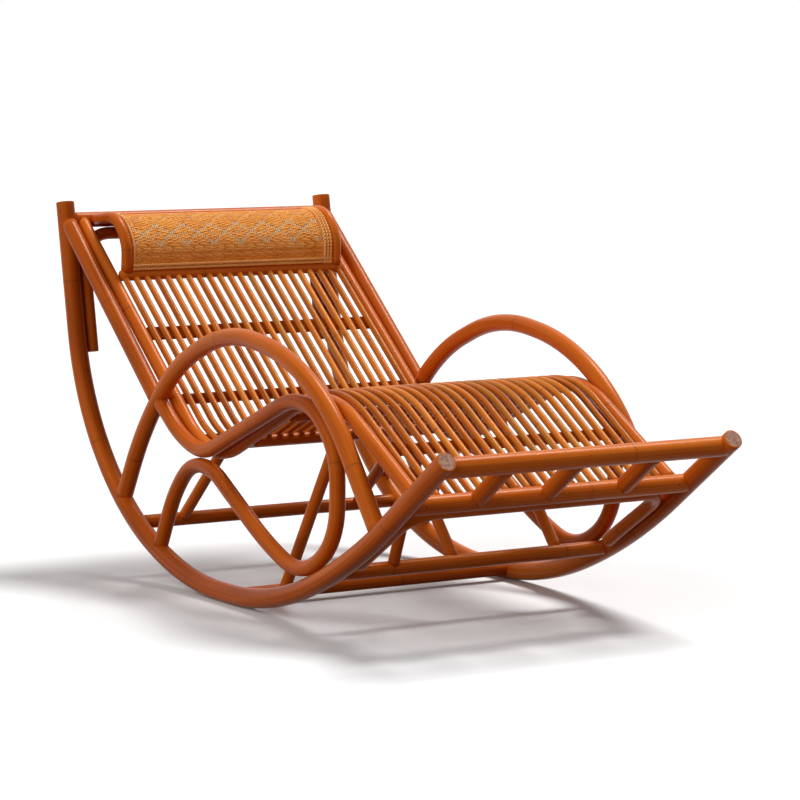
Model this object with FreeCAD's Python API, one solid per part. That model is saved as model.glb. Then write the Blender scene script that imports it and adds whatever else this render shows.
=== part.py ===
import FreeCAD, Part
import math
import os

# A rattan rocking chair, in millimetres. +Z is up, the sitter's feet point along -Y and the
# back is towards +Y. The origin lies on the floor, under the middle of the chair's box.
# Side curves are lists of (y, z) corners; each corner is bent as widely as its runs allow.

Vector = FreeCAD.Vector

# Overall sizes
rocker_spacing = 612.0      # between the centre lines of the two rockers
joint_gap = 0.25            # play left between two poles that meet
bend_share = 0.49           # how much of each run a bend may take

# Pole diameters
rocker_d = 38.0
armrest_d = 34.0
scroll_d = 30.0
outer_rail_d = 33.0
seat_rail_d = 28.0
top_rail_d = 32.0
front_top_bar_d = 38.0
front_lower_bar_d = 35.0
hoop_d = 26.0
stretcher_d = 28.0
cross_bar_d = 22.0
dip_bar_d = 34.0
strut_d = 23.0
front_strut_d = 22.0
gap_strut_d = 32.0
slat_d = 13.0
headrest_hoop_d = 23.0
headrest_cane_d = 12.0

# Rocker: post top, back bend, heel, short flat on the floor, toe, foot end
rocker_post_top = (722.0, 737.0)
rocker_foot_end = (-730.0, 354.0)
rocker_back_bend = (650.0, 338.0)
rocker_heel = (462.0, 123.0)
rocker_flat_rear_y = 202.0
rocker_flat_front_y = -129.0
rocker_toe = (-422.0, 135.0)
floor_wear = 0.5            # depth of the worn flat under each rocker

# Armrest: its two ends stand on the rocker at these places along the chair
armrest_rear_y = 470.0
armrest_front_y = -512.0
armrest_arch = [(389.0, 287.0), (249.0, 436.0), (28.0, 523.0), (-188.0, 494.0), (-348.0, 410.0)]

# Outer back rail, from the rocker's post down to the armrest
outer_rail_below_top = 45.0
outer_rail_armrest_y = 315.0

# Side scroll: seat dip, knee hump, front loop, diagonal, small loop and its foot on the rocker
scroll_dip = [(222.0, 300.0), (132.5, 276.0)]
scroll_hump = [(-205.0, 413.0), (-292.0, 406.0), (-370.0, 331.0)]
scroll_front_loop = [(-368.0, 164.0), (-238.0, 89.0), (-109.0, 136.0)]
scroll_loop_top = [(100.0, 284.5), (184.0, 282.0)]      # in the dip's own line; the loop passes under it
scroll_loop_gap = 0.5
scroll_loop_rear = (252.0, 186.0)
scroll_foot_y = 317.0

# Seat profile, followed by the two seat rails and, a little higher, by the slats
seat_dip = [(214.5, 290.0), (106.5, 273.0)]
seat_hump = [(-204.0, 412.0), (-326.0, 416.0)]

# Cross pieces, by their place along the chair; those of the back, by their distance down from the top rail
top_rail_below_top = 38.0
front_top_bar_y = -709.0
front_lower_bar_y = -598.0
rear_stretcher_y = 410.0
bottom_stretcher_y = -19.0
front_stretcher_y = -349.0
bottom_stretcher_lift = 4.0
head_bar_down = 185.0
back_strip_down = 346.0
back_bar_down = 526.0
seat_bar_y = 16.0
thigh_bar_y = -119.0
leg_bar_y = -450.0
back_strip_width = 34.0
back_strip_thickness = 6.0

# Slats
slat_count = 22
slat_seat = 5.5             # from the seat rails' centre line up to the underside of the slats

# Hoops behind the back and under the foot end
rear_hoop_foot_below_top = 312.0
rear_hoop_bend_r = 60.0
front_hoop_foot_y = -391.0
front_hoop_bend_r = 55.0

# Struts under the seat, by their place across the chair
rear_strut_inset = 68.0         # from the seat rail's centre line, as are the next three
middle_strut_inset = 57.0
front_strut_right_inset = 95.0
front_strut_left_inset = 85.0
front_strut_middle_x = -42.0
gap_strut_x = [-160.0, -11.0, 154.0]

# Headrest: corners of the end hoops, down from the top rail and out from the back, and the woven panel
headrest_brow = (77.0, 79.0)
headrest_nose = (149.0, 66.0)
headrest_chin = (180.0, 19.5)
headrest_panel_thickness = 5.0
headrest_panel_proud = 3.0      # how far the panel's middle lies outside the hoops' centre line
headrest_cane_setback = 16.0    # from the panel's edge to the cane behind it

# Nails that pin the front lower bar
nail_shank_d = 3.0
nail_head_d = 7.0
nail_head_height = 1.6
nail_length = 38.0

# Values worked out from the sizes above
side_x = rocker_spacing / 2
rocker_r = rocker_d / 2
seat_rail_x = side_x - rocker_r - seat_rail_d / 2 - joint_gap
hoop_x = side_x - rocker_r - hoop_d / 2 - joint_gap
headrest_hoop_x = seat_rail_x - seat_rail_d / 2 - headrest_hoop_d / 2 - joint_gap
panel_half = headrest_hoop_x - headrest_hoop_d / 2 - joint_gap
slat_reach = seat_rail_x - (seat_rail_d + slat_d) / 2 - joint_gap
slat_pitch = 2 * slat_reach / (slat_count - 1)
rear_strut_x = seat_rail_x - rear_strut_inset
middle_strut_x = seat_rail_x - middle_strut_inset
front_strut_right_x = front_strut_right_inset - seat_rail_x
front_strut_left_x = seat_rail_x - front_strut_left_inset


def at(x, point):
    """A (y, z) point placed at x across the chair."""
    return Vector(x, point[0], point[1])


def bend_wire(corners, most=math.inf):
    """A wire of straight runs joined by tangent arcs, one at each inner corner."""
    edges = []
    last = corners[0]
    for before, corner, after in zip(corners, corners[1:], corners[2:]):
        into = before - corner
        out = after - corner
        reach = min(bend_share * min(into.Length, out.Length), most)
        start = corner + into.normalize() * reach
        end = corner + out.normalize() * reach
        half = into.getAngle(out) / 2
        to_middle = (into + out).normalize()
        depth = reach / math.cos(half) - reach * math.tan(half)
        edges.append(Part.LineSegment(last, start).toShape())
        edges.append(Part.Arc(start, corner + to_middle * depth, end).toShape())
        last = end
    edges.append(Part.LineSegment(last, corners[-1]).toShape())
    return Part.Wire(edges)


def swept(path, section):
    return path.makePipeShell([section], True, False)


def pole(corners, diameter, most=math.inf):
    """A round pole bent along its corners."""
    path = bend_wire(corners, most)
    along = corners[1] - corners[0]
    ring = Part.Wire(Part.Circle(corners[0], along, diameter / 2).toShape())
    return swept(path, ring)


def largest(shape):
    return max(shape.Solids, key=lambda solid: solid.Volume)


def coped(shape, neighbours):
    """The piece with its ends and touching places shaped to its neighbours."""
    for neighbour in neighbours:
        shape = shape.cut(neighbour)
    return largest(shape)


def cross_pole(point, diameter, half_length):
    """A straight pole across the chair, through a (y, z) point."""
    return Part.makeCylinder(diameter / 2, 2 * half_length, at(-half_length, point), Vector(1, 0, 0))


def height_at(corners, y):
    """Height of a side curve where it passes y, nearest the floor."""
    path = bend_wire([at(0, corner) for corner in corners])
    line = Part.LineSegment(at(0, (y, -1000.0)), at(0, (y, 2000.0))).toShape()
    points = path.distToShape(line)[1]
    return min(pair[0].z for pair in points)


def mirrored(shape):
    return shape.mirror(Vector(0, 0, 0), Vector(1, 0, 0))


def unit(start, end):
    dy = end[0] - start[0]
    dz = end[1] - start[1]
    length = math.hypot(dy, dz)
    return dy / length, dz / length


def raised(corners, height):
    """A side curve's corners moved to one side by a height, towards the sitter."""
    moved = []
    for i, corner in enumerate(corners):
        before = corners[max(i - 1, 0)]
        after = corners[min(i + 1, len(corners) - 1)]
        into = unit(before, corner) if before != corner else unit(corner, after)
        out = unit(corner, after) if after != corner else into
        normal = (into[1] + out[1], -into[0] - out[0])
        length = math.hypot(*normal)
        normal = (normal[0] / length, normal[1] / length)
        spread = height / (normal[0] * into[1] - normal[1] * into[0])
        moved.append((corner[0] + normal[0] * spread, corner[1] + normal[1] * spread))
    return moved


def under_seat(corners, y, depth):
    """A point below the seat profile at y, square to the run that passes there."""
    for start, end in zip(corners, corners[1:]):
        if end[0] <= y <= start[0]:
            along = unit(start, end)
            share = (y - start[0]) / (end[0] - start[0])
            z = start[1] + share * (end[1] - start[1])
            return (y - along[1] * depth, z + along[0] * depth)
    raise ValueError("no run of the seat passes there")


def under_bend(corners, corner, depth):
    """A point below the middle of the bend at one corner of the seat profile."""
    path = bend_wire([at(0, point) for point in corners])
    outer = at(0, corner)
    touch = path.distToShape(Part.Vertex(outer))[1][0][0]
    centre = touch + (outer - touch).normalize() * depth
    return (centre.y, centre.z)


# Rockers
rocker_corners = [
    rocker_post_top,
    rocker_back_bend,
    rocker_heel,
    (rocker_flat_rear_y, rocker_r - floor_wear),
    (rocker_flat_front_y, rocker_r - floor_wear),
    rocker_toe,
    rocker_foot_end,
]


def on_rocker(y):
    return (y, height_at(rocker_corners, y))


def on_post(below_top):
    down = unit(rocker_post_top, rocker_back_bend)
    return (rocker_post_top[0] + down[0] * below_top, rocker_post_top[1] + down[1] * below_top)


def rocker(x, extra=0.0):
    return pole([at(x, corner) for corner in rocker_corners], rocker_d + extra)


floor_length = rocker_post_top[0] - rocker_foot_end[0]
floor_corner = Vector(-rocker_spacing, rocker_foot_end[0], -rocker_d)
floor = Part.makeBox(2 * rocker_spacing, floor_length, rocker_d, floor_corner)
rocker_right = rocker(-side_x).cut(floor)
rocker_cope_right = rocker(-side_x, 2 * joint_gap)
rocker_copes = [rocker_cope_right, mirrored(rocker_cope_right)]

# Armrests
armrest_corners = [on_rocker(armrest_rear_y)] + armrest_arch + [on_rocker(armrest_front_y)]


def armrest(x, extra=0.0):
    return pole([at(x, corner) for corner in armrest_corners], armrest_d + extra)


armrest_right = coped(armrest(-side_x), [rocker_cope_right])
armrest_cope_right = armrest(-side_x, 2 * joint_gap)

# Outer back rails
outer_rail_top = on_post(outer_rail_below_top)
outer_rail_foot = (outer_rail_armrest_y, height_at(armrest_corners, outer_rail_armrest_y))
outer_rail = pole([at(-side_x, outer_rail_top), at(-side_x, outer_rail_foot)], outer_rail_d)
outer_rail_right = coped(outer_rail, [rocker_cope_right, armrest_cope_right])

# Side scrolls
scroll_small_loop = [(y, z - scroll_d - scroll_loop_gap) for y, z in scroll_loop_top]
scroll_corners = (
    [outer_rail_foot] + scroll_dip + scroll_hump + scroll_front_loop + scroll_small_loop
    + [scroll_loop_rear, on_rocker(scroll_foot_y)]
)
scroll = pole([at(-side_x, corner) for corner in scroll_corners], scroll_d)
side_scroll_right = coped(scroll, [rocker_cope_right, armrest_cope_right])

# Cross rails that end on the rockers
top_rail_centre = on_post(top_rail_below_top)
front_top_centre = on_rocker(front_top_bar_y)
front_lower_centre = on_rocker(front_lower_bar_y)
rear_stretcher_centre = on_rocker(rear_stretcher_y)
bottom_stretcher_floor = on_rocker(bottom_stretcher_y)
bottom_stretcher_centre = (bottom_stretcher_y, bottom_stretcher_floor[1] + bottom_stretcher_lift)
front_stretcher_centre = on_rocker(front_stretcher_y)


def rail_between_rockers(centre, diameter):
    return coped(cross_pole(centre, diameter, side_x), rocker_copes)


top_rail = rail_between_rockers(top_rail_centre, top_rail_d)
front_top_bar = rail_between_rockers(front_top_centre, front_top_bar_d)
front_lower_bar = rail_between_rockers(front_lower_centre, front_lower_bar_d)
rear_stretcher = rail_between_rockers(rear_stretcher_centre, stretcher_d)
bottom_stretcher = rail_between_rockers(bottom_stretcher_centre, stretcher_d)
front_stretcher = rail_between_rockers(front_stretcher_centre, stretcher_d)
top_rail_cope = cross_pole(top_rail_centre, top_rail_d + 2 * joint_gap, side_x)
front_top_cope = cross_pole(front_top_centre, front_top_bar_d + 2 * joint_gap, side_x)
front_lower_cope = cross_pole(front_lower_centre, front_lower_bar_d + 2 * joint_gap, side_x)
stretcher_copes = [
    cross_pole(centre, stretcher_d + 2 * joint_gap, side_x)
    for centre in (rear_stretcher_centre, bottom_stretcher_centre, front_stretcher_centre)
]

# Seat rails
seat_corners = [top_rail_centre] + seat_dip + seat_hump + [front_lower_centre]
back_slope = unit(seat_corners[0], seat_corners[1])


def on_back(down, out=0.0):
    """A point a distance down the back from the top rail, and out from it towards the sitter."""
    return (
        top_rail_centre[0] + back_slope[0] * down + back_slope[1] * out,
        top_rail_centre[1] + back_slope[1] * down - back_slope[0] * out,
    )


seat_rail = pole([at(-seat_rail_x, corner) for corner in seat_corners], seat_rail_d)
seat_rail_right = coped(seat_rail, [top_rail_cope, front_lower_cope])

# Centre line of the slats, from the head bar to the front lower bar, which hold their ends
slat_rise = slat_seat + slat_d / 2
head_bar_centre = on_back(head_bar_down, slat_rise)
slat_corners = [head_bar_centre] + raised(seat_corners, slat_rise)[1:-1] + [front_lower_centre]

# Head bar, and cross bars under the slats
bar_depth = (slat_d + cross_bar_d) / 2 + joint_gap
bar_half = seat_rail_x - seat_rail_d / 2 - joint_gap
hump_bar_y = (seat_hump[0][0] + seat_hump[1][0]) / 2


def bar_at(centre, diameter=cross_bar_d):
    bar = cross_pole(centre, diameter, bar_half)
    cope = cross_pole(centre, diameter + 2 * joint_gap, side_x)
    return bar, cope


def under_slats(y):
    return under_seat(slat_corners, y, bar_depth)


dip_bar_depth = (slat_d + dip_bar_d) / 2 + joint_gap
dip_bar_centre = under_bend(slat_corners, slat_corners[1], dip_bar_depth)
thigh_bar_centre = under_slats(thigh_bar_y)
hump_bar_centre = under_slats(hump_bar_y)
leg_bar_centre = under_slats(leg_bar_y)
head_bar, head_bar_cope = bar_at(head_bar_centre)
back_bar, _ = bar_at(on_back(back_bar_down, slat_rise - bar_depth))
dip_bar, dip_bar_cope = bar_at(dip_bar_centre, dip_bar_d)
seat_bar, _ = bar_at(under_slats(seat_bar_y))
thigh_bar, thigh_bar_cope = bar_at(thigh_bar_centre)
hump_bar, hump_bar_cope = bar_at(hump_bar_centre)
leg_bar, leg_bar_cope = bar_at(leg_bar_centre)

# Flat strip across the back, under the slats
strip_depth = (slat_d + back_strip_thickness) / 2 + joint_gap
back_strip = Part.makeBox(
    2 * bar_half, back_strip_width, back_strip_thickness,
    Vector(-bar_half, -back_strip_width / 2, -back_strip_thickness / 2),
)
back_strip.rotate(Vector(0, 0, 0), Vector(1, 0, 0), math.degrees(math.atan2(-back_slope[1], -back_slope[0])))
back_strip.translate(at(0, on_back(back_strip_down, slat_rise - strip_depth)))


# Slats
def slat(x):
    return coped(pole([at(x, corner) for corner in slat_corners], slat_d), [head_bar_cope, front_lower_cope])


# Hoops of bent cane
def hoop(foot, top, bend_r):
    """Up the inner side of one rocker, across under a bar and down the other side."""
    corners = [at(-hoop_x, foot), at(-hoop_x, top), at(hoop_x, top), at(hoop_x, foot)]
    return pole(corners, hoop_d, bend_r)


rear_hoop_top = on_post(top_rail_below_top + (top_rail_d + hoop_d) / 2 + joint_gap)
rear_hoop = hoop(on_post(rear_hoop_foot_below_top), rear_hoop_top, rear_hoop_bend_r)

toe_slope = unit(rocker_foot_end, rocker_toe)
front_hoop_drop = (front_lower_bar_d + hoop_d) / 2 + joint_gap
front_hoop_top = (
    front_lower_centre[0] + toe_slope[0] * front_hoop_drop,
    front_lower_centre[1] + toe_slope[1] * front_hoop_drop,
)
front_hoop = hoop(on_rocker(front_hoop_foot_y), front_hoop_top, front_hoop_bend_r)


# Struts
def strut(x_low, low, x_high, high, diameter, neighbours):
    return coped(pole([at(x_low, low), at(x_high, high)], diameter), neighbours)


rear_strut_right = strut(
    -rear_strut_x, rear_stretcher_centre, -rear_strut_x, dip_bar_centre, strut_d,
    stretcher_copes + [dip_bar_cope],
)
middle_strut = strut(
    -middle_strut_x, bottom_stretcher_centre, -middle_strut_x, hump_bar_centre, strut_d,
    stretcher_copes + [hump_bar_cope],
)
front_strut_right = strut(
    front_strut_right_x, front_stretcher_centre, front_strut_right_x, leg_bar_centre,
    front_strut_d, stretcher_copes + [leg_bar_cope],
)
front_strut_middle = strut(
    front_strut_middle_x, front_stretcher_centre, front_strut_middle_x, thigh_bar_centre,
    front_strut_d, stretcher_copes + [thigh_bar_cope],
)
front_strut_left = strut(
    front_strut_left_x, front_stretcher_centre, front_strut_left_x, thigh_bar_centre,
    front_strut_d, stretcher_copes + [thigh_bar_cope],
)
gap_struts = [
    strut(x, front_lower_centre, x, front_top_centre, gap_strut_d, [front_lower_cope, front_top_cope])
    for x in gap_strut_x
]

# Headrest
headrest_profile = (headrest_brow, headrest_nose, headrest_chin)
headrest_corners = [top_rail_centre] + [on_back(down, out) for down, out in headrest_profile]
headrest_hoop = pole([at(-headrest_hoop_x, corner) for corner in headrest_corners], headrest_hoop_d)
headrest_hoop_right = coped(headrest_hoop, [top_rail_cope, head_bar_cope])

panel_corners = raised(headrest_corners, headrest_panel_proud)
panel_start = at(0, panel_corners[0])
panel_slope = unit(panel_corners[0], panel_corners[1])
panel_up = Vector(0, panel_slope[1], -panel_slope[0]) * (headrest_panel_thickness / 2)
panel_side = Vector(panel_half, 0, 0)
panel_section = Part.makePolygon([
    panel_start - panel_side - panel_up,
    panel_start + panel_side - panel_up,
    panel_start + panel_side + panel_up,
    panel_start - panel_side + panel_up,
    panel_start - panel_side - panel_up,
])
panel_path = bend_wire([at(0, corner) for corner in panel_corners])
headrest_panel = coped(swept(panel_path, panel_section), [top_rail_cope, head_bar_cope])

cane_depth = headrest_panel_proud - headrest_panel_thickness / 2 - headrest_cane_d / 2 - joint_gap


def headrest_cane(start, end, distance):
    """A cane across the headrest, behind the panel, at a distance along one of its runs."""
    along = unit(start, end)
    centre = (
        start[0] + along[0] * distance + along[1] * cane_depth,
        start[1] + along[1] * distance - along[0] * cane_depth,
    )
    return cross_pole(centre, headrest_cane_d, panel_half)


headrest_roof = headrest_corners[:2]
headrest_front = headrest_corners[-2:]
headrest_drop = math.dist(*headrest_front)
headrest_upper_cane = headrest_cane(*headrest_roof, top_rail_d / 2 + headrest_cane_setback)
headrest_lower_cane = headrest_cane(*headrest_front, headrest_drop - headrest_cane_setback)

# Nails through the front lower bar into the ends of the seat rails
nail_axis = Vector(0, -1, 0)
nail_seat = front_lower_bar_d / 2


def nail_at(x):
    centre = at(x, front_lower_centre)
    shank = Part.makeCylinder(nail_shank_d / 2, nail_length, centre + nail_axis * nail_seat, nail_axis * -1)
    head = Part.makeCylinder(
        nail_head_d / 2, 2 * nail_head_height, centre + nail_axis * (nail_seat - nail_head_height), nail_axis
    )
    head = head.cut(front_lower_cope)
    hole = Part.makeCylinder(
        nail_shank_d / 2 + joint_gap, nail_length + 2 * nail_head_height,
        centre + nail_axis * (nail_seat + nail_head_height), nail_axis * -1,
    )
    return largest(head.fuse(shank)), hole


nail_right, nail_hole_right = nail_at(-seat_rail_x)
front_lower_bar = largest(front_lower_bar.cut(nail_hole_right).cut(mirrored(nail_hole_right)))
seat_rail_right = largest(seat_rail_right.cut(nail_hole_right))

# Every piece under its own name
pieces = {
    "top_rail": top_rail,
    "front_top_bar": front_top_bar,
    "front_lower_bar": front_lower_bar,
    "rear_stretcher": rear_stretcher,
    "bottom_stretcher": bottom_stretcher,
    "front_stretcher": front_stretcher,
    "rear_hoop": rear_hoop,
    "front_hoop": front_hoop,
    "head_bar": head_bar,
    "back_strip": back_strip,
    "back_bar": back_bar,
    "dip_bar": dip_bar,
    "seat_bar": seat_bar,
    "thigh_bar": thigh_bar,
    "hump_bar": hump_bar,
    "leg_bar": leg_bar,
    "middle_strut": middle_strut,
    "front_struts": Part.makeCompound([front_strut_right, front_strut_middle, front_strut_left]),
    "front_gap_struts": Part.makeCompound(gap_struts),
    "headrest_panel": headrest_panel,
    "headrest_upper_cane": headrest_upper_cane,
    "headrest_lower_cane": headrest_lower_cane,
    "nails": Part.makeCompound([nail_right, mirrored(nail_right)]),
}
paired = {
    "rocker": rocker_right,
    "armrest": armrest_right,
    "outer_back_rail": outer_rail_right,
    "side_scroll": side_scroll_right,
    "seat_rail": seat_rail_right,
    "rear_strut": rear_strut_right,
    "headrest_hoop": headrest_hoop_right,
}
for name, shape in paired.items():
    pieces[name + "_right"] = shape
    pieces[name + "_left"] = mirrored(shape)
for number in range(slat_count):
    slat_x = (number - (slat_count - 1) / 2) * slat_pitch
    pieces["slat_%02d" % (number + 1)] = slat(slat_x)

os.makedirs("parts", exist_ok=True)
for name, shape in pieces.items():
    shape.exportStep("parts/" + name + ".step")
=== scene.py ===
import math
import random

import bmesh
import bpy
from mathutils import Matrix, Vector, noise


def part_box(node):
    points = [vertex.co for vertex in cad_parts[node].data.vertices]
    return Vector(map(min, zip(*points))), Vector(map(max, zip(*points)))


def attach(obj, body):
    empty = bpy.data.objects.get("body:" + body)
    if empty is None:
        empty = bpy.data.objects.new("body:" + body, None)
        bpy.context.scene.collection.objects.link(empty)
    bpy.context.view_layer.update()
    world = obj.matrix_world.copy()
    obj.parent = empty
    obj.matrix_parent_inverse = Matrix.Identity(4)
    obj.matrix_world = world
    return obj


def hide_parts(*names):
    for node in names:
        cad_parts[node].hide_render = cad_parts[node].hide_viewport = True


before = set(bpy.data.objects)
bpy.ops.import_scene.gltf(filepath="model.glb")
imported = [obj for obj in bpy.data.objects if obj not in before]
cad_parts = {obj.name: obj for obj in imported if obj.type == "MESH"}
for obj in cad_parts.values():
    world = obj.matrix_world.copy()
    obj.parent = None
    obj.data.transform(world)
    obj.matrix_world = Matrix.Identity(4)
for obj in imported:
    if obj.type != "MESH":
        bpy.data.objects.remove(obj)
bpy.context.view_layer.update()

# Camera of the photograph, in metres and millimetres of lens
camera_place = Vector((-3.2459, -5.2855, 1.0436))
camera_target = Vector((0.0, -0.0910, 0.3832))
camera_lens = 145.13
camera_sensor = 36.0

# Canes: how the surface is followed and rebuilt, in metres
merge_distance = 0.00001
ring_grid = 0.001            # points of a ring, moved in by the radius, meet within this
ring_points = 8              # fewest points that make a ring
ring_error = 0.01            # most that a ring's radius differs from the cane's, as a share
same_ring = 0.004
aside_cost = 14.0
steady_share = 0.985         # how closely a ring points along its neighbours, as a cosine
line_step = 0.002
cane_step = 0.012
thick_sides = 28
thin_sides = 16
thin_radius = 0.0075
hoop_radius = 0.013
joint_reach = 0.001          # how far a fitted end goes on into its neighbour
end_width = 1.1              # how far aside of its line a cane's end may lie, as a share of the radius
rim_wear = 0.0014            # softened edge of a sawn end
rim_step = 0.3               # section inside the softened edge, as a share of it
skin = 0.0012                # lacquered skin that shows round a sawn end

# Growth rings (knuckles) of the cane
body_share = 0.990           # cane between the knuckles, as a share of the full radius
knuckle_rise = 0.006
knuckle_width = 0.006
scar_depth = 0.008
scar_width = 0.0011
knuckle_offsets = (-0.014, -0.008, -0.004, -0.0018, -0.0008, 0.0, 0.0008, 0.0018, 0.004, 0.008, 0.014)
knuckle_room = 1.3           # clear of other sections, as a share of the knuckle's half length
knuckle_gap = 0.46
rocker_knuckle_gap = 0.42
slat_knuckle_gap = 0.30
first_knuckle = (0.15, 0.9)  # least and most distance from the end, as a share of the gap
next_knuckle = (0.75, 1.3)
hand_wave = 0.003            # slow unevenness of a hand-worked cane, as a share of the radius
waves_per_metre = 9
wave_places = 100            # each cane takes its unevenness from a place of its own below this
no_knuckle = 1.0             # distance that stands for no knuckle near

# Finish of the canes: scales of the patterns across and along the cane, and their shares of the tone
cane_shift = (5, 5, 50)      # most that a cane's own patterns are moved
streak_scale = (260, 260, 2.6)
pore_scale = (900, 900, 160)
fleck_scale = (330, 330, 70)
fibre_scale = (900, 900, 12)
streak_share = 0.42
blotch_share = 0.62
tone_share = 0.30
tone_start = 0.15

# Finish of the woven strands
strand_shift = (3, 30)       # most that a strand's own streaks are moved, across and along
strand_streak_scale = (1500, 1500, 14)
strand_patch_scale = (38, 38, 38)
strand_streak_share = 0.5
strand_tone_share = 0.3
strand_patch_share = 0.35
strand_tone_start = 0.1

# Flat strip across the back
strip_edge = 0.0018          # rounding of its edges
strip_corner = 0.5           # least angle, in radians, of an edge that is rounded
strip_tone = 0.3

# Woven headrest
profile_steps = 40
weave_columns = 98
weave_row = 0.0031
weave_margin = 0.001         # bare profile below the weave
weave_tuck = 0.0015          # how far the weave's sides go into the hoops beside it
diamond_columns = 13
diamond_rows = 14
lattice_line = 0.14          # width of the lattice's lines, as a share of a diamond
faint_lattice = 0.4          # how clearly the rows of diamonds above the main one show
diamond_eye = 0.5            # how clearly the middle of a diamond shows
eye_size = 2.1
main_diamonds = 0.66         # place of the clearest row of diamonds, as a share of the way down
chevrons = 0.77              # where the zigzag rows begin
chevron_rows = 6             # one zigzag
chevron_repeat = 5
twill_step = 2
twill_repeat = 4
strand_cover = 0.94          # width of a cross strand as a share of its pitch
warp_cover = 0.7             # the same for an upright strand
strand_lift = 0.0007
strand_crown = 0.0003
strand_thickness = 0.0006
panel_lift = 0.003           # middle of the weave outside the hoops' centre line
braid_strand = 0.0017
seam_strand = 0.0011         # thinner braid beside the near hoop
braid_pitch = 0.013
braid_sides = 7
braid_steps = 10             # along each turn of the braid
braid_rise = 0.0030
braid_fill = 1.05            # thickness of a strand against the braid's own radius
braid_tone = 0.8
braid_pale = 0.25
bottom_braid_insets = (0.004, 0.011)
side_braid_insets = (0.004, 0.011, 0.018)
side_braid_start = 0.25      # as a share of the way down

# Studio
floor_radius = 400.0
floor_sides = 64
floor_white = (0.92, 0.92, 0.92, 1)
floor_bounce = (0.13, 0.075, 0.035, 1)      # colour that the floor throws back on the chair
world_light = 0.25
world_white = 1.0
key_from = (0.45, 0.12, 0.88)
key_strength = 2.85
key_spread = 22              # degrees
side_from = (-0.95, -0.15, 0.45)
side_strength = 1.5
side_spread = 60

random.seed(7)


def srgb(red, green, blue):
    """A colour as seen on screen, 0 to 255, as the linear colour that a shader takes."""
    seen = [part / 255 for part in (red, green, blue)]
    linear = [part / 12.92 if part <= 0.04045 else ((part + 0.055) / 1.055) ** 2.4 for part in seen]
    return (*linear, 1.0)


# Places of the colour sockets on a Mix node
mix_colour_first = 6
mix_colour_second = 7
mix_colour_result = 2


class Finish:
    """A material put together node by node."""

    def __init__(self, name):
        self.material = bpy.data.materials.new(name)
        self.material.use_nodes = True
        self.tree = self.material.node_tree
        self.shader = self.tree.nodes["Principled BSDF"]

    def feed(self, socket, value):
        if isinstance(value, bpy.types.NodeSocket):
            self.tree.links.new(value, socket)
        else:
            socket.default_value = value

    def attribute(self, name, output):
        node = self.tree.nodes.new("ShaderNodeAttribute")
        node.attribute_name = name
        return node.outputs[output]

    def object_place(self):
        return self.tree.nodes.new("ShaderNodeTexCoord").outputs["Object"]

    def stretched(self, vector, scale):
        node = self.tree.nodes.new("ShaderNodeVectorMath")
        node.operation = "MULTIPLY"
        self.feed(node.inputs[0], vector)
        node.inputs[1].default_value = scale
        return node.outputs["Vector"]

    def noise(self, vector, scale, detail=2.0):
        node = self.tree.nodes.new("ShaderNodeTexNoise")
        self.feed(node.inputs["Vector"], self.stretched(vector, scale))
        node.inputs["Scale"].default_value = 1.0
        node.inputs["Detail"].default_value = detail
        return node.outputs["Fac"]

    def pores(self, vector, scale):
        node = self.tree.nodes.new("ShaderNodeTexVoronoi")
        self.feed(node.inputs["Vector"], self.stretched(vector, scale))
        node.inputs["Scale"].default_value = 1.0
        return node.outputs["Distance"]

    def math(self, operation, first, second=0.0):
        node = self.tree.nodes.new("ShaderNodeMath")
        node.operation = operation
        self.feed(node.inputs[0], first)
        self.feed(node.inputs[1], second)
        return node.outputs[0]

    def band(self, value, start, end, low=0.0, high=1.0):
        """Runs from low to high as the value goes from start to end, and stays there outside."""
        node = self.tree.nodes.new("ShaderNodeMapRange")
        self.feed(node.inputs["Value"], value)
        node.inputs["From Min"].default_value = start
        node.inputs["From Max"].default_value = end
        node.inputs["To Min"].default_value = low
        node.inputs["To Max"].default_value = high
        return node.outputs["Result"]

    def ramp(self, value, stops):
        node = self.tree.nodes.new("ShaderNodeValToRGB")
        self.feed(node.inputs["Fac"], value)
        marks = node.color_ramp.elements
        while len(marks) < len(stops):
            marks.new(0.5)
        for mark, (place, colour) in zip(marks, stops):
            mark.position = place
            mark.color = colour
        return node.outputs["Color"]

    def mix(self, share, first, second):
        node = self.tree.nodes.new("ShaderNodeMix")
        node.data_type = "RGBA"
        self.feed(node.inputs["Factor"], share)
        self.feed(node.inputs[mix_colour_first], first)
        self.feed(node.inputs[mix_colour_second], second)
        return node.outputs[mix_colour_result]

    def bump(self, height, strength, distance):
        node = self.tree.nodes.new("ShaderNodeBump")
        node.inputs["Strength"].default_value = strength
        node.inputs["Distance"].default_value = distance
        self.feed(node.inputs["Height"], height)
        self.feed(self.shader.inputs["Normal"], node.outputs["Normal"])

    def lacquer(self, weight, roughness):
        """A clear coat over a warm, weaker gloss."""
        self.shader.inputs["Coat Weight"].default_value = weight
        self.shader.inputs["Coat Roughness"].default_value = roughness
        self.shader.inputs["Specular IOR Level"].default_value = 0.11
        self.shader.inputs["Specular Tint"].default_value = (1.0, 0.55, 0.16, 1.0)


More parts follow.
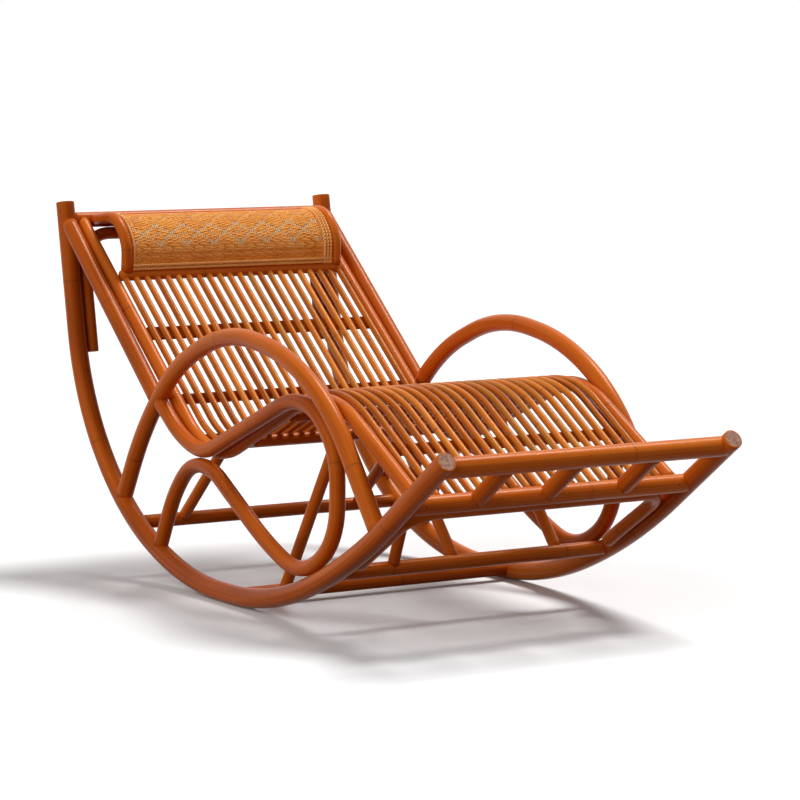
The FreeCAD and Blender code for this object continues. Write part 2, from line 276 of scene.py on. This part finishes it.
def lacquered_cane(name, colours, odd_colour, blotch_scale, fleck_start):
    """Lacquered rattan: fibre streaks along it, slow blotches, knuckle scars, pores and worn flecks."""
    finish = Finish(name)
    straight = finish.attribute("straight", "Vector")
    tone = finish.attribute("tone", "Fac")
    streaks = finish.noise(straight, streak_scale, 3.0)
    blotches = finish.noise(straight, blotch_scale, 2.0)
    streak_part = finish.math("MULTIPLY", streaks, streak_share)
    blotch_part = finish.math("MULTIPLY", blotches, blotch_share)
    tone_part = finish.math("MULTIPLY", tone, tone_share)
    depth = finish.math("ADD", finish.math("ADD", streak_part, blotch_part), tone_part)
    colour = finish.ramp(finish.math("SUBTRACT", depth, tone_start), colours)
    colour = finish.mix(finish.band(tone, 0.62, 0.95, 0.0, 0.65), colour, odd_colour)

    off_knuckle = finish.attribute("knuckle", "Fac")
    halo = finish.band(off_knuckle, 0.002, 0.009, 0.15, 0.0)
    colour = finish.mix(halo, colour, srgb(146, 80, 24))
    scar = finish.band(off_knuckle, 0.0006, 0.0016, 0.45, 0.0)
    ragged = finish.math("MULTIPLY", scar, finish.band(streaks, 0.35, 0.55))
    colour = finish.mix(ragged, colour, srgb(70, 28, 10))

    pores = finish.noise(straight, pore_scale, 1.0)
    colour = finish.mix(finish.band(pores, 0.70, 0.76, 0.0, 0.55), colour, srgb(84, 32, 10))
    flecks = finish.noise(straight, fleck_scale, 1.0)
    fleck = finish.band(flecks, fleck_start, fleck_start + 0.02, 0.0, 0.8)
    colour = finish.mix(fleck, colour, srgb(236, 196, 150))

    finish.feed(finish.shader.inputs["Base Color"], colour)
    finish.feed(finish.shader.inputs["Roughness"], finish.band(streaks, 0.3, 0.7, 0.26, 0.36))
    finish.lacquer(0.028, 0.06)
    fibres = finish.noise(straight, fibre_scale, 1.0)
    finish.bump(fibres, 0.05, 0.0001)
    return finish.material


def sawn_end(name):
    """End grain of a sawn cane: pale, with dark pores and a darker skin at the rim."""
    finish = Finish(name)
    straight = finish.attribute("straight", "Vector")
    pores = finish.pores(straight, (620, 620, 1))
    cloud = finish.noise(straight, (160, 160, 1), 2.0)
    colour = finish.ramp(cloud, [(0.3, srgb(122, 66, 38)), (0.7, srgb(188, 142, 118))])
    colour = finish.mix(finish.band(pores, 0.18, 0.42, 0.85, 0.0), colour, srgb(104, 48, 24))
    finish.feed(finish.shader.inputs["Base Color"], colour)
    finish.feed(finish.shader.inputs["Roughness"], finish.band(cloud, 0.3, 0.7, 0.45, 0.65))
    finish.bump(pores, 0.35, 0.0006)
    return finish.material


def woven_strand(name, colours, pale_colour):
    """Split cane of the weave: fibre lines, a tone for each strand, and pale where it draws the lattice."""
    finish = Finish(name)
    straight = finish.attribute("straight", "Vector")
    streaks = finish.noise(straight, strand_streak_scale, 2.0)
    patches = finish.noise(finish.object_place(), strand_patch_scale, 2.0)
    tone = finish.attribute("tone", "Fac")
    streak_part = finish.math("MULTIPLY", streaks, strand_streak_share)
    tone_part = finish.math("MULTIPLY", tone, strand_tone_share)
    patch_part = finish.math("MULTIPLY", patches, strand_patch_share)
    depth = finish.math("ADD", finish.math("ADD", streak_part, tone_part), patch_part)
    colour = finish.ramp(finish.math("SUBTRACT", depth, strand_tone_start), colours)
    colour = finish.mix(finish.attribute("pale", "Fac"), colour, pale_colour)
    finish.feed(finish.shader.inputs["Base Color"], colour)
    finish.feed(finish.shader.inputs["Roughness"], finish.band(streaks, 0.3, 0.7, 0.42, 0.60))
    finish.lacquer(0.04, 0.25)
    finish.bump(streaks, 0.15, 0.0003)
    return finish.material


def blackened_steel(name):
    """Nail heads, dark with a little rust."""
    finish = Finish(name)
    rust = finish.noise(finish.object_place(), (900, 900, 900), 2.0)
    colour = finish.ramp(rust, [(0.35, srgb(20, 14, 12)), (0.7, srgb(48, 24, 14))])
    finish.feed(finish.shader.inputs["Base Color"], colour)
    finish.feed(finish.shader.inputs["Roughness"], finish.band(rust, 0.3, 0.7, 0.5, 0.7))
    finish.shader.inputs["Metallic"].default_value = 0.4
    return finish.material


frame_colours = [
    (0.15, srgb(128, 50, 10)),
    (0.42, srgb(188, 86, 18)),
    (0.65, srgb(212, 110, 30)),
    (0.90, srgb(236, 148, 58)),
]
slat_colours = [
    (0.15, srgb(112, 54, 12)),
    (0.40, srgb(188, 98, 26)),
    (0.62, srgb(218, 126, 42)),
    (0.90, srgb(244, 176, 88)),
]
weft_colours = [
    (0.15, srgb(206, 112, 32)),
    (0.50, srgb(252, 168, 72)),
    (0.90, srgb(254, 206, 124)),
]
warp_colours = [
    (0.15, srgb(192, 102, 28)),
    (0.50, srgb(244, 156, 62)),
    (0.90, srgb(252, 190, 106)),
]
frame_cane = lacquered_cane(
    "lacquered_frame_cane", frame_colours, srgb(176, 72, 12), blotch_scale=(22, 22, 2.4), fleck_start=0.82,
)
slat_cane = lacquered_cane(
    "lacquered_slat_cane", slat_colours, srgb(158, 96, 30), blotch_scale=(60, 60, 4.0), fleck_start=0.80,
)
cane_end = sawn_end("sawn_cane_end")
weft_cane = woven_strand("woven_weft", weft_colours, srgb(226, 190, 146))
warp_cane = woven_strand("woven_warp", warp_colours, srgb(228, 196, 152))
nail_steel = blackened_steel("blackened_nail_steel")


# Centre lines of the canes
class CaneLine:
    """A smooth line through knots, each a point and a direction, with a place at each distance along."""

    def __init__(self, knots):
        self.points = [knots[0][0]]
        for (start, leave), (end, arrive) in zip(knots, knots[1:]):
            span = (end - start).length
            steps = max(1, math.ceil(span / line_step))
            for step in range(1, steps + 1):
                self.points.append(self.between(start, leave * span, end, arrive * span, step / steps))
        self.reach = [0.0]
        for point, following in zip(self.points, self.points[1:]):
            self.reach.append(self.reach[-1] + (following - point).length)
        self.length = self.reach[-1]

    @staticmethod
    def between(start, leave, end, arrive, share):
        """Hermite curve from start to end."""
        square = share * share
        cube = square * share
        return (
            start * (2 * cube - 3 * square + 1)
            + leave * (cube - 2 * square + share)
            + end * (3 * square - 2 * cube)
            + arrive * (cube - square)
        )

    def at(self, distance):
        """The point and direction at a distance along the line."""
        low, high = 0, len(self.reach) - 1
        while high - low > 1:
            middle = (low + high) // 2
            if self.reach[middle] <= distance:
                low = middle
            else:
                high = middle
        start, end = self.points[low], self.points[high]
        share = (distance - self.reach[low]) / (self.reach[high] - self.reach[low])
        return start.lerp(end, share), (end - start).normalized()


def merged_surface(node):
    surface = bmesh.new()
    surface.from_mesh(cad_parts[node].data)
    bmesh.ops.remove_doubles(surface, verts=surface.verts, dist=merge_distance)
    surface.normal_update()
    return surface


def ring_through(places):
    """Centre, direction and radius of the circle through three points of a ring that lie well apart."""
    first = places[0]
    second = max(places, key=lambda place: (place - first).length)
    chord = second - first
    third = max(places, key=lambda place: chord.cross(place - first).length)
    other = third - first
    square = chord.cross(other)
    offset = square.cross(chord) * other.length_squared + other.cross(square) * chord.length_squared
    offset /= 2 * square.length_squared
    return first + offset, square.normalized(), offset.length


def rings_of(surface, radius):
    """Centre and direction of each ring on a cane. A ring's points, moved in by the radius, meet there."""
    meeting = {}
    for vert in surface.verts:
        centre = vert.co - vert.normal * radius
        meeting.setdefault(tuple(round(part / ring_grid) for part in centre), []).append(vert.co)
    rings = []
    for places in meeting.values():
        if len(places) >= ring_points:
            centre, direction, ring_radius = ring_through(places)
            is_new = all((centre - ring[0]).length > same_ring for ring in rings)
            if is_new and abs(ring_radius / radius - 1) < ring_error:
                rings.append((centre, direction))
    return rings


def step_cost(here, there):
    """How far the next ring is, and how much further if it lies aside of where both rings point."""
    offset = there[0] - here[0]
    distance = offset.length
    if distance == 0:
        return 0.0
    aside = 2 - abs(here[1].dot(offset) / distance) - abs(there[1].dot(offset) / distance)
    return distance * (1 + aside_cost * aside)


def end_ring(rings):
    """A ring that has no other close by on one of its sides, which is where the cane ends."""
    def loneliness(ring):
        ahead = [other for other in rings if (other[0] - ring[0]).dot(ring[1]) > 0]
        behind = [other for other in rings if (other[0] - ring[0]).dot(ring[1]) < 0]
        nearest = [
            min((step_cost(ring, other) for other in group), default=math.inf) for group in (ahead, behind)
        ]
        return max(nearest)
    return max(rings, key=loneliness)


def facing(ring, way):
    centre, direction = ring
    return centre, direction if direction.dot(way) > 0 else -direction


def in_order(rings):
    """The rings in the order of a walk along the cane from one end, each pointing the way of the walk."""
    left = list(rings)
    first = end_ring(rings)
    left.remove(first)
    second = min(left, key=lambda ring: step_cost(first, ring))
    walk = [facing(first, second[0] - first[0])]
    while left:
        here = walk[-1]
        ahead = [ring for ring in left if (ring[0] - here[0]).dot(here[1]) > 0]
        following = min(ahead or left, key=lambda ring: step_cost(here, ring))
        left.remove(following)
        walk.append(facing(following, following[0] - here[0]))
    return walk


def steady(walk):
    """The walk without rings that point aside of their neighbours."""
    kept = [walk[0]]
    for before, ring, after in zip(walk, walk[1:], walk[2:]):
        if ring[1].dot((after[0] - before[0]).normalized()) > steady_share:
            kept.append(ring)
    return kept + [walk[-1]]


def end_knot(surface, centre, outward, radius, reach):
    """Where the cane's end lies, straight on from its last ring."""
    furthest = 0.0
    for vert in surface.verts:
        offset = vert.co - centre
        ahead = offset.dot(outward)
        aside = (offset - outward * ahead).length
        if aside < end_width * radius:
            furthest = max(furthest, ahead)
    return centre + outward * (furthest + reach)


def bent_line(node, radius, reach):
    """The centre line of a bent cane of the frame."""
    surface = merged_surface(node)
    knots = steady(in_order(rings_of(surface, radius)))
    (start, leave), (end, arrive) = knots[0], knots[-1]
    knots.insert(0, (end_knot(surface, start, -leave, radius, reach), leave))
    knots.append((end_knot(surface, end, arrive, radius, reach), arrive))
    surface.free()
    return CaneLine(knots)


def straight_line(start, end):
    direction = (end - start).normalized()
    return CaneLine([(start, direction), (end, direction)])


def bar_line(node):
    """The centre line and radius of a straight bar that runs across the chair."""
    low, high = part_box(node)
    middle = (low + high) / 2
    start = Vector((low.x - joint_reach, middle.y, middle.z))
    end = Vector((high.x + joint_reach, middle.y, middle.z))
    return straight_line(start, end), (high.z - low.z) / 2


def islands(surface):
    """The separate solids of a node, each as a list of faces."""
    left = set(surface.faces)
    found = []
    while left:
        solid = []
        edge_of_walk = [left.pop()]
        while edge_of_walk:
            face = edge_of_walk.pop()
            solid.append(face)
            for edge in face.edges:
                for beside in edge.link_faces:
                    if beside in left:
                        left.remove(beside)
                        edge_of_walk.append(beside)
        found.append(solid)
    return found


def strut_lines(node):
    """Centre line and radius of each straight strut of a node, in their order across the chair."""
    surface = merged_surface(node)
    lines = []
    for solid in islands(surface):
        places = [vert.co for face in solid for vert in face.verts]
        side = (min(place.x for place in places) + max(place.x for place in places)) / 2
        radius = (max(place.x for place in places) - min(place.x for place in places)) / 2
        spread = [0.0, 0.0]
        for face in solid:
            area = face.calc_area()
            spread[0] += area * (face.normal.y ** 2 - face.normal.z ** 2)
            spread[1] += area * 2 * face.normal.y * face.normal.z
        turn = math.atan2(spread[1], spread[0]) / 2
        across = Vector((0, math.cos(turn), math.sin(turn)))
        along = Vector((0, -math.sin(turn), math.cos(turn)))
        offsets = [place.dot(across) for place in places]
        heights = [place.dot(along) for place in places]
        base = Vector((side, 0, 0)) + across * (min(offsets) + max(offsets)) / 2
        start = base + along * (min(heights) - joint_reach)
        end = base + along * (max(heights) + joint_reach)
        lines.append((straight_line(start, end), radius))
    surface.free()
    return sorted(lines, key=lambda strut: strut[0].points[0].x)


# Canes
def knuckles_on(length, gap):
    """Distances along a cane where its growth rings lie."""
    places = []
    place = gap * random.uniform(*first_knuckle)
    while place < length - knuckle_offsets[-1]:
        places.append(place)
        place += gap * random.uniform(*next_knuckle)
    return places


def stations_on(length, knuckles, free):
    """Distances along a cane where its section is set: evenly, closer at knuckles, and at softened ends."""
    steps = max(2, round(length / cane_step))
    stations = {length * step / steps for step in range(steps + 1)}
    for knuckle in knuckles:
        stations = {s for s in stations if abs(s - knuckle) > knuckle_room * knuckle_offsets[-1]}
        stations |= {knuckle + offset for offset in knuckle_offsets}
    if free:
        inner = rim_step * rim_wear
        stations |= {inner, rim_wear, length - rim_wear, length - inner}
    return sorted(s for s in stations | {0.0, length} if 0.0 <= s <= length)


def nearest_offset(distance, knuckles):
    """Distance to the nearest knuckle."""
    return min((abs(distance - knuckle) for knuckle in knuckles), default=no_knuckle)


def section_radius(distance, line, radius, knuckles, free, wave_place):
    offset = nearest_offset(distance, knuckles)
    swell = knuckle_rise * math.exp(-((offset / knuckle_width) ** 2))
    scar = scar_depth * math.exp(-((offset / scar_width) ** 2))
    wave = hand_wave * noise.noise(Vector((wave_place, 0, distance * waves_per_metre)))
    full = radius * (body_share + swell - scar + wave)
    if free:
        from_end = min(distance, line.length - distance)
        if from_end < rim_wear:
            full -= rim_wear * (1 - math.sqrt(1 - (1 - from_end / rim_wear) ** 2))
    return full


def frames_on(line, stations):
    """A frame at each station, with Z along the cane, that doesn't twist on the way."""
    direction = line.at(stations[0])[1]
    turn = direction.to_track_quat("Z", "X")
    frames = []
    for station in stations:
        point, ahead = line.at(station)
        turn = direction.rotation_difference(ahead) @ turn
        direction = ahead
        frames.append(Matrix.Translation(point) @ turn.to_matrix().to_4x4())
    return frames


def cane_layers(shape):
    verts = shape.verts.layers
    return verts.float_vector.new("straight"), verts.float.new("knuckle"), verts.float.new("tone")


def grow_cane(line, radius, sides, gap, free=False):
    """A cane swept along a line, ring by ring, with knuckles, as a closed shape."""
    knuckles = knuckles_on(line.length, gap) if gap else []
    stations = stations_on(line.length, knuckles, free)
    frames = frames_on(line, stations)
    wave_place = random.uniform(0, wave_places)
    shift = Vector([random.uniform(0, most) for most in cane_shift])
    tone = random.random()
    radii = [section_radius(s, line, radius, knuckles, free, wave_place) for s in stations]
    shape = bmesh.new()
    straight_layer, knuckle_layer, tone_layer = cane_layers(shape)

    def note(verts, number):
        back = frames[number].inverted()
        for vert in verts:
            local = back @ vert.co
            vert[straight_layer] = Vector((local.x, local.y, stations[number])) + shift
            vert[knuckle_layer] = nearest_offset(stations[number], knuckles)
            vert[tone_layer] = tone

    bmesh.ops.create_circle(shape, cap_ends=True, segments=sides, radius=radii[0], matrix=frames[0])
    shape.faces.ensure_lookup_table()
    cap = shape.faces[0]
    note(cap.verts, 0)
    for number in range(1, len(stations)):
        grown = bmesh.ops.extrude_face_region(shape, geom=[cap, *cap.edges])["geom"]
        cap = next(item for item in grown if isinstance(item, bmesh.types.BMFace))
        share = radii[number] / radii[number - 1]
        carry = frames[number] @ Matrix.Diagonal((share, share, 1, 1)) @ frames[number - 1].inverted()
        bmesh.ops.transform(shape, matrix=carry, verts=cap.verts)
        note(cap.verts, number)
    bmesh.ops.recalc_face_normals(shape, faces=shape.faces)
    ends = [face for face in shape.faces if len(face.verts) > 4]
    for face in shape.faces:
        face.smooth = True
    for face in ends:
        face.smooth = False
    if free:
        bmesh.ops.inset_individual(shape, faces=ends, thickness=skin)
        for face in ends:
            face.material_index = 1
    return shape


def joined(shapes):
    """Several shapes as one."""
    whole = shapes[0]
    for shape in shapes[1:]:
        part = bpy.data.meshes.new("part")
        shape.to_mesh(part)
        shape.free()
        whole.from_mesh(part)
        bpy.data.meshes.remove(part)
    return whole


def add_piece(name, shape, finishes, slot, *nodes):
    mesh = bpy.data.meshes.new(name)
    shape.to_mesh(mesh)
    shape.free()
    for finish in finishes:
        mesh.materials.append(finish)
    piece = bpy.data.objects.new(name, mesh)
    bpy.context.scene.collection.objects.link(piece)
    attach(piece, "root")
    if nodes:
        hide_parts(*nodes)
    return piece


def add_cane(node, shape, finish=frame_cane, slot="rattan_pole"):
    return add_piece(node + "_cane", shape, [finish, cane_end], slot, node)


def half_width(node):
    low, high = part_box(node)
    return (high.x - low.x) / 2


def sides_for(radius):
    return thin_sides if radius < thin_radius else thick_sides


def bent_cane(node, radius=None, gap=knuckle_gap, free=False):
    radius = radius or half_width(node)
    line = bent_line(node, radius, 0.0 if free else joint_reach)
    return grow_cane(line, radius, sides_for(radius), gap, free)


def worn_flat(shape):
    """The rocker's underside, worn flat where it stands on the floor."""
    for vert in shape.verts:
        vert.co.z = max(vert.co.z, 0.0)
    return shape


side_names = ("right", "left")
for side in side_names:
    add_cane("rocker_" + side, worn_flat(bent_cane("rocker_" + side, gap=rocker_knuckle_gap, free=True)))
    for name in ("armrest_", "side_scroll_", "seat_rail_", "headrest_hoop_"):
        add_cane(name + side, bent_cane(name + side))
    for name in ("outer_back_rail_", "rear_strut_"):
        line, radius = strut_lines(name + side)[0]
        add_cane(name + side, grow_cane(line, radius, thick_sides, knuckle_gap))
for name in ("rear_hoop", "front_hoop"):
    add_cane(name, bent_cane(name, hoop_radius, free=True))
for name in ("middle_strut", "front_struts", "front_gap_struts"):
    struts = [grow_cane(line, radius, thick_sides, knuckle_gap) for line, radius in strut_lines(name)]
    add_cane(name, joined(struts))
cross_bars = (
    "top_rail", "front_top_bar", "front_lower_bar", "rear_stretcher", "bottom_stretcher", "front_stretcher",
    "head_bar", "back_bar", "dip_bar", "seat_bar", "thigh_bar", "hump_bar", "leg_bar",
    "headrest_upper_cane", "headrest_lower_cane",
)
for name in cross_bars:
    line, radius = bar_line(name)
    add_cane(name, grow_cane(line, radius, sides_for(radius), knuckle_gap))
slat_names = sorted(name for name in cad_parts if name.startswith("slat_"))
for name in slat_names:
    add_cane(name, bent_cane(name, gap=slat_knuckle_gap), slat_cane, "cane_slat")


# Flat strip across the back
def flat_strip(node):
    """A split cane strip with rounded edges, in the place of the frame's strip."""
    shape = merged_surface(node)
    edges = [edge for edge in shape.edges if edge.calc_face_angle(0.0) > strip_corner]
    bmesh.ops.bevel(
        shape, geom=edges, offset=strip_edge, affect="EDGES", segments=3, profile=0.5, material=-1,
    )
    straight_layer, knuckle_layer, tone_layer = cane_layers(shape)
    for vert in shape.verts:
        vert[straight_layer] = Vector((vert.co.y, vert.co.z, vert.co.x))
        vert[knuckle_layer] = no_knuckle
        vert[tone_layer] = strip_tone
    for face in shape.faces:
        face.smooth = True
    return shape


add_piece("back_strip_cane", flat_strip("back_strip"), [frame_cane], "rattan_pole", "back_strip")

# Woven headrest
panel_low, panel_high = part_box("headrest_panel")
profile = bent_line("headrest_hoop_right", half_width("headrest_hoop_right"), 0.0)
if profile.points[0].y < profile.points[-1].y:
    knots = []
    for step in range(profile_steps + 1):
        point, ahead = profile.at(profile.length - profile.length * step / profile_steps)
        knots.append((point, -ahead))
    profile = CaneLine(knots)
weave_length = profile.length - weave_margin
weave_rows = int(weave_length / weave_row)
weave_left = panel_low.x - weave_tuck
weave_width = panel_high.x - panel_low.x + 2 * weave_tuck
weave_column = weave_width / weave_columns


def on_panel(x, distance, lift):
    """A point of the headrest: across, down its profile from the top rail, and out from its middle."""
    point, ahead = profile.at(min(max(distance, 0.0), profile.length))
    outward = Vector((0, ahead.z, -ahead.y))
    return Vector((x, point.y, point.z)) + outward * (panel_lift + lift)


def lattice_at(column, row):
    """How clearly the diamond lattice shows at a crossing, from 0 to 1."""
    band = row - main_diamonds * weave_rows
    if band > diamond_rows / 2 + 1:
        return 0.0
    across = abs((column + diamond_columns / 2) % diamond_columns - diamond_columns / 2)
    down = abs((band + diamond_rows / 2) % diamond_rows - diamond_rows / 2)
    strength = 1.0 if band > -diamond_rows / 2 - 1 else faint_lattice
    if abs(across / (diamond_columns / 2) + down / (diamond_rows / 2) - 1) < lattice_line:
        return strength
    return diamond_eye * strength if across + down < eye_size else 0.0


def warp_over(column, row):
    """True where the upright strand lies over the cross strand."""
    if lattice_at(column, row) > 0:
        return True
    if row > chevrons * weave_rows:
        return (column + abs(row % chevron_rows - chevron_rows // 2)) % chevron_repeat == 0
    return (column + twill_step * row) % twill_repeat == 0


def strand_layers(shape):
    verts = shape.verts.layers
    return verts.float_vector.new("straight"), verts.float.new("tone"), verts.float.new("pale")


def lay_strand(shape, layers, steps, width, place, lift_at, pale_at):
    """One flat strand of the weave, crowned, that rises and dips along its way. place gives a point for a
    share of its length, an offset across and a lift."""
    straight_layer, tone_layer, pale_layer = layers
    tone = random.random()
    across, along = strand_shift
    shift = Vector((random.uniform(0, across), 0, random.uniform(0, along)))
    verts = bmesh.ops.create_grid(shape, x_segments=steps, y_segments=2, size=1.0)["verts"]
    for vert in verts:
        share = (vert.co.x + 1) / 2
        aside = vert.co.y
        lift = lift_at(share) - strand_crown * aside * aside
        vert[straight_layer] = Vector((aside * width / 2, 0, share)) + shift
        vert[tone_layer] = tone
        vert[pale_layer] = pale_at(share)
        vert.co = place(share, aside * width / 2, lift)


def weave_lift(height_at, count):
    """Lift at a share of a strand's length: full at each crossing and halfway in between."""
    def lift(share):
        place = share * count - 0.5
        lower = min(max(math.floor(place), 0), count - 1)
        upper = min(lower + 1, count - 1)
        blend = min(max(place - lower, 0.0), 1.0)
        return strand_lift * (height_at(lower) * (1 - blend) + height_at(upper) * blend)
    return lift


def weft_strands():
    shape = bmesh.new()
    layers = strand_layers(shape)
    for row in range(weave_rows):
        middle = (row + 0.5) * weave_row
        lift = weave_lift(lambda column: -1 if warp_over(column, row) else 1, weave_columns)
        lay_strand(
            shape, layers, 2 * weave_columns, strand_cover * weave_row,
            lambda share, aside, rise: on_panel(weave_left + share * weave_width, middle - aside, rise),
            lift, lambda share: 0.0,
        )
    return shape


def warp_strands():
    shape = bmesh.new()
    layers = strand_layers(shape)
    for column in range(weave_columns):
        middle = weave_left + (column + 0.5) * weave_column
        lift = weave_lift(lambda row: 1 if warp_over(column, row) else -1, weave_rows)
        lay_strand(
            shape, layers, 2 * weave_rows, warp_cover * weave_column,
            lambda share, aside, rise: on_panel(middle + aside, share * weave_length, rise),
            lift, lambda share: lattice_at(column, int(share * weave_rows)),
        )
    return shape


def add_weave(name, shape, finish, *nodes):
    for face in shape.faces:
        face.smooth = True
    bmesh.ops.recalc_face_normals(shape, faces=shape.faces)
    piece = add_piece(name, shape, [finish], "woven_cane", *nodes)
    wall = piece.modifiers.new("thickness", "SOLIDIFY")
    wall.thickness = strand_thickness
    wall.offset = 0.0
    return piece


add_weave("headrest_weft", weft_strands(), weft_cane, "headrest_panel")
add_weave("headrest_warp", warp_strands(), warp_cane)


# Braids round the headrest
def braid(route, length, thickness):
    """Two strands twisted round a route on the headrest."""
    turns = length / braid_pitch
    strands = []
    for strand in range(2):
        knots = []
        count = round(turns * braid_steps)
        for step in range(count + 1):
            share = step / count
            angle = 2 * math.pi * turns * share + math.pi * strand
            aside = thickness * math.cos(angle)
            rise = braid_rise + thickness * math.sin(angle)
            knots.append(route(share, aside, rise))
        ends = [(after - before).normalized() for before, after in zip(knots, knots[1:])]
        ends.append(ends[-1])
        strands.append(braid_strand_shape(list(zip(knots, ends)), thickness))
    return joined(strands)


def braid_strand_shape(knots, thickness):
    line = CaneLine(knots)
    shape = bmesh.new()
    straight_layer, tone_layer, pale_layer = strand_layers(shape)
    stations = [line.length * step / (len(knots) - 1) for step in range(len(knots))]
    frames = frames_on(line, stations)
    bmesh.ops.create_circle(
        shape, cap_ends=True, segments=braid_sides, radius=thickness * braid_fill, matrix=frames[0],
    )
    shape.faces.ensure_lookup_table()
    cap = shape.faces[0]
    for number in range(1, len(stations)):
        grown = bmesh.ops.extrude_face_region(shape, geom=[cap, *cap.edges])["geom"]
        cap = next(item for item in grown if isinstance(item, bmesh.types.BMFace))
        bmesh.ops.transform(shape, matrix=frames[number] @ frames[number - 1].inverted(), verts=cap.verts)
        for vert in cap.verts:
            local = frames[number].inverted() @ vert.co
            vert[straight_layer] = Vector((local.x, local.y, stations[number]))
            vert[tone_layer] = braid_tone
            vert[pale_layer] = braid_pale
    bmesh.ops.recalc_face_normals(shape, faces=shape.faces)
    for face in shape.faces:
        face.smooth = True
    return shape


def bottom_braid(inset):
    width = panel_high.x - panel_low.x
    level = weave_length - inset
    return braid(
        lambda share, aside, rise: on_panel(panel_low.x + share * width, level + aside, rise),
        width, braid_strand,
    )


def side_braid(x, thickness):
    start = side_braid_start * weave_length
    length = weave_length - start
    return braid(
        lambda share, aside, rise: on_panel(x + aside, start + share * length, rise), length, thickness
    )


braids = [bottom_braid(inset) for inset in bottom_braid_insets]
braids += [side_braid(panel_high.x - inset, braid_strand) for inset in side_braid_insets]
braids.append(side_braid(panel_low.x + 2 * seam_strand, seam_strand))
add_piece("headrest_braid", joined(braids), [weft_cane], "woven_cane")

# Nails keep the frame's own shape
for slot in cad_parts["nails"].material_slots:
    slot.material = nail_steel


# Stage
def studio_floor():
    shape = bmesh.new()
    bmesh.ops.create_circle(shape, cap_ends=True, segments=floor_sides, radius=floor_radius)
    mesh = bpy.data.meshes.new("studio_floor")
    shape.to_mesh(mesh)
    shape.free()
    floor = bpy.data.objects.new("studio_floor", mesh)
    bpy.context.scene.collection.objects.link(floor)
    finish = Finish("studio_floor_white")
    rays = finish.tree.nodes.new("ShaderNodeLightPath")
    clear = finish.math("MAXIMUM", rays.outputs["Is Glossy Ray"], rays.outputs["Is Transmission Ray"])
    seen = finish.math("MAXIMUM", rays.outputs["Is Camera Ray"], clear)
    colour = finish.mix(seen, floor_bounce, floor_white)
    finish.feed(finish.shader.inputs["Base Color"], colour)
    finish.shader.inputs["Roughness"].default_value = 1.0
    finish.shader.inputs["Specular IOR Level"].default_value = 0.0
    mesh.materials.append(finish.material)


def studio_world():
    world = bpy.data.worlds.new("studio_world")
    world.use_nodes = True
    nodes = world.node_tree.nodes
    links = world.node_tree.links
    background = nodes["Background"]
    rays = nodes.new("ShaderNodeLightPath")
    clear = nodes.new("ShaderNodeMath")
    clear.operation = "MAXIMUM"
    links.new(rays.outputs["Is Glossy Ray"], clear.inputs[0])
    links.new(rays.outputs["Is Transmission Ray"], clear.inputs[1])
    seen = nodes.new("ShaderNodeMath")
    seen.operation = "MAXIMUM"
    links.new(rays.outputs["Is Camera Ray"], seen.inputs[0])
    links.new(clear.outputs[0], seen.inputs[1])
    strength = nodes.new("ShaderNodeMapRange")
    strength.inputs["To Min"].default_value = world_light
    strength.inputs["To Max"].default_value = world_white
    links.new(seen.outputs[0], strength.inputs["Value"])
    links.new(strength.outputs["Result"], background.inputs["Strength"])
    background.inputs["Color"].default_value = (1, 1, 1, 1)
    bpy.context.scene.world = world


def studio_sun(name, towards, strength, spread):
    lamp = bpy.data.lights.new(name, "SUN")
    lamp.energy = strength
    lamp.angle = math.radians(spread)
    holder = bpy.data.objects.new(name, lamp)
    holder.rotation_mode = "QUATERNION"
    holder.rotation_quaternion = Vector(towards).to_track_quat("Z", "Y")
    bpy.context.scene.collection.objects.link(holder)


def photo_camera():
    camera = bpy.data.cameras.new("photo_camera")
    camera.lens = camera_lens
    camera.sensor_width = camera_sensor
    holder = bpy.data.objects.new("photo_camera", camera)
    holder.location = camera_place
    holder.rotation_mode = "QUATERNION"
    holder.rotation_quaternion = (camera_target - camera_place).to_track_quat("-Z", "Y")
    bpy.context.scene.collection.objects.link(holder)
    bpy.context.scene.camera = holder


studio_floor()
studio_world()
studio_sun("key_light", key_from, key_strength, key_spread)
studio_sun("side_light", side_from, side_strength, side_spread)
photo_camera()
bpy.context.scene.view_settings.view_transform = "Standard"
